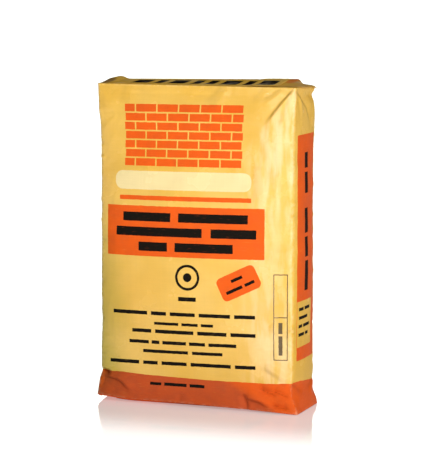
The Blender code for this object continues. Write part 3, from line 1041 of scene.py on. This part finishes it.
def orange_ink_and_shade(look, place, at, band):
    """Orange, a little patchy, and darkened with painted shade low on the left of the band."""
    patchy = look.noise(place, 40.0, 3.0)
    # Painted shade: darker orange towards the lower left of the band, left out on the lit ridge at the
    # corner
    lean = look.scaled(at.v, BAND_SHADE_SLOPE[1], look.both(at.u, BAND_SHADE_SLOPE[0]))
    lean = look.scaled(patchy, 0.012, lean)
    band_shade = look.both(band, look.spread(lean, *BAND_SHADE_SPREAD))
    lit_ridge = look.both(look.spread(at.u, *LIT_RIDGE_U), look.spread(at.v, *LIT_RIDGE_V))
    band_shade = look.without(band_shade, lit_ridge)
    deep = look.math("ADD", band_shade, look.spread(patchy, 0.35, 0.8, 0.0, 0.22))
    return look.mix(deep, ORANGE, DEEP_ORANGE_AND_SHADE)


def with_painted_shade(look, place, colour):
    """The colour with painted shade: darker and more olive up the left edge, and darker in the creases
    beside the folds.
    """
    # Painted shade: olive-tinted darkening up the left edge, fading away from it
    away = look.away(place, LEFT_SHADE_MIDDLE, LEFT_SHADE_REACH)
    away = look.scaled(look.noise(place, 14.0, 3.0), 0.5, away)
    colour = look.mix(look.spread(away, *LEFT_SHADE_SPREAD), colour, look.vector("MULTIPLY", colour, LEFT_SHADE_TINT))
    # Painted shade: darker in the creases beside the folds
    crease_shade = look.both(look.kept("crease_shade"), CREASE_SHADE_SHARE)
    return look.mix(crease_shade, colour, look.vector("MULTIPLY", colour, CREASE_SHADE_TINT))


def printed_walls():
    look = Look("sack_print")
    place = look.add("UVMap", 0, uv_map="sheet")
    at = print_places(look, place)
    band = bottom_band(look, place, at)
    orange = orange_print(look, at, band)
    dark = dark_print(look, at)
    thin = look.noise(look.stretched(place, (60.0, 500.0, 1.0)), 1.0)
    thin = look.spread(thin, 0.60, 0.80, 1.0, 0.86)
    colour = bare_film(look, place, at)
    # Orange ink, with painted shade low on the left of the band
    colour = look.mix(look.both(orange, thin), colour, orange_ink_and_shade(look, place, at, band))
    colour = look.mix(form_print(look, at), colour, OLIVE)
    colour = look.mix(look.both(dark, thin), colour, INK)
    # Painted shade up the left edge and in the creases
    colour = with_painted_shade(look, place, colour)
    inked = look.either(dark, orange)
    side = look.both(look.spread(at.round_u, FRONT_EDGE, FRONT_EDGE + EDGE_EASE),
                     look.spread(at.round_u, REAR_EDGE, REAR_EDGE + EDGE_EASE, 1.0, 0.0))
    gloss = look.scaled(look.either(inked, side), INKED_GLOSS - FILM_GLOSS, FILM_GLOSS)
    matt = look.scaled(inked, INKED_MATT, look.both(dark, DARK_MATT))
    film_finish(look, place, colour, look.kept("worn"), FILM_ROUGHNESS, gloss, matt)
    return look.material


def bare_material(name, colours, laid=True, clouds=12.0, worn=12.0, rows=(), stains_and_shadows=(), dusty=0.0):
    """Film with little or no print: a strip, laid flat, or else a folded end of the sheet."""
    look = Look(name)
    place = look.add("TexCoord", "Object") if laid else look.add("UVMap", 0, uv_map="sheet")
    place = look.stretched(place, (1.0, 1.0, 0.0))
    ground = look.mix(look.spread(look.noise(place, clouds), 0.3, 0.7), *colours)
    for row in rows:
        ground = look.mix(look.row(place, *row), ground, INK)
    # Oval marks: real stains, and the painted shadow on the top's left end
    for stain_or_shadow in stains_and_shadows:
        ground = look.with_stain_or_shadow(place, ground, *stain_or_shadow)
    dust = look.spread(look.noise(place, 30.0, 4.0), 0.45, 0.75, 0.0, dusty)
    ground = look.mix(dust, ground, DUST)
    worn = look.spread(look.noise(place, worn), 0.55, 0.8)
    film_finish(look, place, ground, worn, END_ROUGHNESS, 0.0)
    return look.material


def make_strip(name, shape, underside):
    """A thin strip with rounded corners and slightly uneven edges, lying on underside(x, y)."""
    span_x, span_y, cell, thickness, corner, uneven = shape
    middle_x, middle_y = ((low + high) / 2 for low, high in (span_x, span_y))
    half_x, half_y = ((high - low) / 2 for low, high in (span_x, span_y))
    grid = bmesh.new()
    bmesh.ops.create_grid(grid, x_segments=round(2 * half_x / cell),
                          y_segments=round(2 * half_y / cell), size=1.0)
    for vertex in grid.verts:
        across, along, _ = vertex.co
        x, y = rounded(across * half_x, along * half_y, half_x, half_y, corner)
        wave_x = noise.noise(Vector((y * EDGE_WAVES, 3.1, across)))
        wave_y = noise.noise(Vector((x * EDGE_WAVES, 7.7, along)))
        x += uneven * wave_x * abs(across) ** 6 + middle_x
        y += uneven * wave_y * abs(along) ** 6 + middle_y
        vertex.co = (x, y, float(underside(x, y)))
    mesh = bpy.data.meshes.new(name)
    grid.to_mesh(mesh)
    grid.free()
    strip = bpy.data.objects.new(name, mesh)
    bpy.context.scene.collection.objects.link(strip)
    solid = strip.modifiers.new("thickness", "SOLIDIFY")
    solid.thickness = thickness
    solid.offset = 1.0
    mesh.shade_smooth()
    mesh.set_sharp_from_angle(angle=math.radians(40))
    return strip


def over_sleeve(x, y):
    """Underside of the top patch, which steps up where it laps over the valve sleeve."""
    step = SLEEVE_THICKNESS + LAID_GAP
    lapped = smooth(1 + (x - LAP_END_X) / LAP_LENGTH)
    return top_height(x, y) + GAP + step * lapped


def on_top(x, y):
    """Underside of the valve sleeve, just clear of the top."""
    return top_height(x, y) + LAID_GAP


def add_strips():
    """The pasted strips; the bottom one lies on the floor and lifts with the curled corners."""
    top = bare_material("strip_top", (YELLOW, PALE_YELLOW), rows=(TOP_ROW,), dusty=0.25)
    base = bare_material("strip_base", (ORANGE, DEEP_ORANGE_AND_SHADE))
    tan = bare_material("sleeve", (TAN, YELLOW), stains_and_shadows=(SLEEVE_STAIN,), dusty=0.3)
    strips = (
        ("top_strip", TOP_PATCH, over_sleeve, top, "top_patch", "patch_yellow"),
        ("base_strip", BOTTOM_PATCH, base_lift, base, "bottom_patch", "patch_orange"),
        ("valve_flap", SLEEVE, on_top, tan, "valve_sleeve", "sleeve_tan"),
    )
    for name, shape, underside, material, node, slot in strips:
        piece = make_strip(name, shape, underside)
        piece.data.materials.append(material)
        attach(piece, "root")
        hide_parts(node)


def make_camera():
    azimuth, elevation = math.radians(CAMERA_AZIMUTH), math.radians(CAMERA_ELEVATION)
    back = Vector((math.sin(azimuth) * math.cos(elevation),
                   -math.cos(azimuth) * math.cos(elevation), math.sin(elevation)))
    data = bpy.data.cameras.new("camera")
    data.sensor_width = SENSOR
    data.lens = FOCAL_PIXELS * SENSOR / PHOTO_LONG_SIDE
    camera = bpy.data.objects.new("camera", data)
    camera.location = Vector(CAMERA_AIM) + back * CAMERA_DISTANCE
    camera.rotation_euler = (-back).to_track_quat("-Z", "Y").to_euler()
    bpy.context.scene.collection.objects.link(camera)
    bpy.context.scene.camera = camera


def area_light(name, place, aim, size, power, colour):
    data = bpy.data.lights.new(name, "AREA")
    data.shape = "RECTANGLE"
    data.size, data.size_y = size
    data.energy = power
    data.color = colour
    light = bpy.data.objects.new(name, data)
    light.location = place
    light.rotation_euler = (Vector(aim) - Vector(place)).to_track_quat("-Z", "Y").to_euler()
    bpy.context.scene.collection.objects.link(light)


def make_world():
    """White studio: bright behind the sack, softer in front and above."""
    world = bpy.data.worlds.new("studio")
    world.use_nodes = True
    tree = world.node_tree
    direction = tree.nodes.new("ShaderNodeTexCoord")
    towards = tree.nodes.new("ShaderNodeVectorMath")
    towards.operation = "DOT_PRODUCT"
    towards.inputs[1].default_value = BACKDROP
    spread = tree.nodes.new("ShaderNodeMapRange")
    spread.interpolation_type = "SMOOTHSTEP"
    for index, value in enumerate(BACKDROP_SPREAD + WORLD_STRENGTH, 1):
        spread.inputs[index].default_value = value
    background = tree.nodes["Background"]
    background.inputs["Color"].default_value = WORLD_COLOUR
    tree.links.new(direction.outputs["Generated"], towards.inputs[0])
    tree.links.new(towards.outputs["Value"], spread.inputs[0])
    tree.links.new(spread.outputs[0], background.inputs["Strength"])
    bpy.context.scene.world = world


def make_floor():
    bpy.ops.mesh.primitive_plane_add(size=FLOOR_SIZE)
    floor = bpy.context.object
    floor.name = "floor"
    look = Look("floor")
    look.shader.inputs["Base Color"].default_value = FLOOR_COLOUR
    look.shader.inputs["Roughness"].default_value = 0.8
    look.shader.inputs["Specular IOR Level"].default_value = 0.0
    look.shader.inputs["Emission Color"].default_value = GLOW_COLOUR
    y = look.split(look.add("NewGeometry", "Position"))[1]
    look.feed(look.shader.inputs["Emission Strength"], look.spread(y, *FORWARD_Y, *GLOW))
    polish = look.add("BsdfAnisotropic", 0, {"Roughness": POLISH_ROUGHNESS})
    share = look.spread(y, *FORWARD_Y, *MIRRORING)
    both = look.add("MixShader", 0, {0: share, 1: look.shader.outputs[0], 2: polish})
    look.feed(look.tree.nodes["Material Output"].inputs["Surface"], both)
    floor.data.materials.append(look.material)


def make_studio():
    bpy.context.scene.view_settings.view_transform = "Standard"
    make_camera()
    make_world()
    make_floor()
    for light in LIGHTS:
        area_light(*light)


def main():
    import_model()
    make_studio()
    sack = make_sack((
        printed_walls(),
        # The top carries the painted shadow at its left end
        bare_material("sack_top", (YELLOW, PALE_YELLOW), False, 9.0, 26.0, stains_and_shadows=(TOP_PAINTED_SHADOW,)),
        bare_material("sack_base", (ORANGE, DEEP_ORANGE_AND_SHADE), False, 9.0, 26.0),
    ))
    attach(sack, "root")
    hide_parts("sack_body")
    add_strips()


main()
